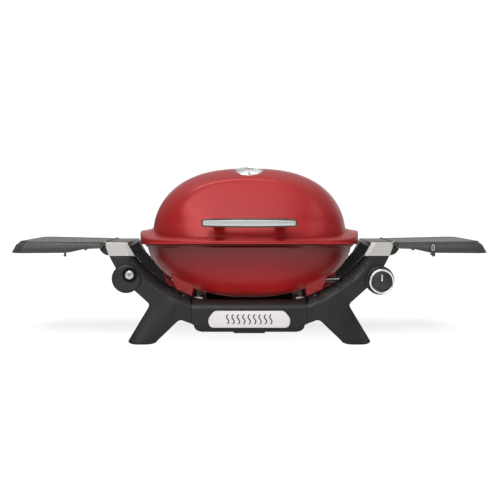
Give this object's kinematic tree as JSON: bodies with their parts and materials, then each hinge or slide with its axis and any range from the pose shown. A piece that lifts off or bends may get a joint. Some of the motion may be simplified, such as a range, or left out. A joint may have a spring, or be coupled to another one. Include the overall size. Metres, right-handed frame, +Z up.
{
  "type": "portable gas grill",
  "caption": "Portable tabletop gas grill with a domed lid, cast cookbox on four splayed legs, two fold-over side tables, gas knob, push igniter and slide-out grease tray.",
  "frame": {"origin": "middle of the overall box, on the surface the feet stand on", "axes": "+Z up, -Y towards the cook (front), +X to the right as seen from the front, along the tables"},
  "size_m": [1.048, 0.42, 0.3955],
  "materials": {
    "arm": "moulded, fine grain",
    "badge": "satin",
    "bright_trim": "metallic paint, satin",
    "steel": "brushed",
    "red_bowl": "red enamel on cast aluminium",
    "red_lid": "red enamel on cast aluminium",
    "iron": "porcelain enamel",
    "brass": "machined",
    "knob_black": "satin",
    "chrome": "polished",
    "button": "silver paint",
    "wire": "matte",
    "ceramic": "glazed",
    "galvanised": "galvanised sheet",
    "tray": "heat-resistant moulding",
    "foil": "thin foil",
    "grip": "satin",
    "inlay": "anodised satin",
    "dial": "printed white",
    "gauge_glass": "clear",
    "needle": "matte",
    "table_top": "moulded, fine grain",
    "hook": "moulded"
  },
  "bodies": {
    "frame": {"left_front_arm": "arm", "right_front_arm": "arm", "left_rear_arm": "arm", "right_rear_arm": "arm", "front_beam": "arm", "rear_beam": "arm", "badge_plate": "badge", "left_carry_handle": "bright_trim", "right_carry_handle": "bright_trim", "left_table_pin": "steel", "right_table_pin": "steel", "cookbox": "red_bowl", "cookbox_hinge_lugs": "red_bowl", "cookbox_bolts": "steel", "left_grate": "iron", "right_grate": "iron", "burner_tube": "steel", "burner_bracket": "steel", "gas_valve": "brass", "gas_inlet": "brass", "igniter_module": "knob_black", "igniter_collar": "knob_black", "igniter_wire": "wire", "igniter_electrode": "ceramic", "left_tray_rail": "galvanised", "right_tray_rail": "galvanised", "frame_screws": "steel", "lid_hinge_pins": "steel", "left_table_brackets": "arm", "right_table_brackets": "arm"},
    "lid": {"lid_shell": "red_lid", "lid_hinge_lugs": "red_lid", "handle_grip": "grip", "handle_inlay": "inlay", "handle_posts": "red_lid", "handle_screws": "steel", "thermometer_case": "chrome", "thermometer_dial": "dial", "thermometer_glass": "gauge_glass", "thermometer_probe": "steel", "thermometer_nut": "steel"},
    "gauge_needle": {"thermometer_needle": "needle"},
    "left_side_table": {"left_table": "table_top", "left_tool_hooks": "hook"},
    "right_side_table": {"right_table": "table_top", "right_tool_hooks": "hook", "right_hook_loop": "bright_trim"},
    "valve_push_body": {"valve_plunger": "steel"},
    "knob_body": {"valve_stem": "steel", "gas_knob": "knob_black", "knob_ring": "chrome", "knob_pointer": "chrome"},
    "igniter_push_body": {"igniter_button": "button"},
    "tray_body": {"grease_tray": "tray", "drip_pan": "foil"}
  },
  "joints": [
    {"name": "lid_hinge", "type": "hinge", "parent": "frame", "child": "lid", "pos_m": [0, 0.202, 0.228], "axis": [-1, 0, 0], "range_deg": [0, 90]},
    {"name": "needle_turn", "type": "hinge", "parent": "lid", "child": "gauge_needle", "pos_m": [0, -0.068, 0.385], "axis": [0, 0.309, -0.9511], "range_deg": [0, 270]},
    {"name": "left_table_fold", "type": "hinge", "parent": "frame", "child": "left_side_table", "pos_m": [-0.322, 0, 0.226], "axis": [0, 1, 0], "range_deg": [0, 135]},
    {"name": "right_table_fold", "type": "hinge", "parent": "frame", "child": "right_side_table", "pos_m": [0.322, 0, 0.226], "axis": [0, -1, 0], "range_deg": [0, 135]},
    {"name": "valve_push", "type": "slide", "parent": "frame", "child": "valve_push_body", "axis": [0, 1, 0], "range_m": [0, 0.003], "stiffness_N_per_m": 800},
    {"name": "knob_turn", "type": "hinge", "parent": "valve_push_body", "child": "knob_body", "pos_m": [0.29, -0.13, 0.142], "axis": [0, -1, 0], "range_deg": [0, 150]},
    {"name": "igniter_push", "type": "slide", "parent": "frame", "child": "igniter_push_body", "axis": [0, 1, 0], "range_m": [0, 0.005], "stiffness_N_per_m": 400},
    {"name": "tray_slide", "type": "slide", "parent": "frame", "child": "tray_body", "axis": [0, 1, 0], "range_m": [0, 0.18]}
  ]
}
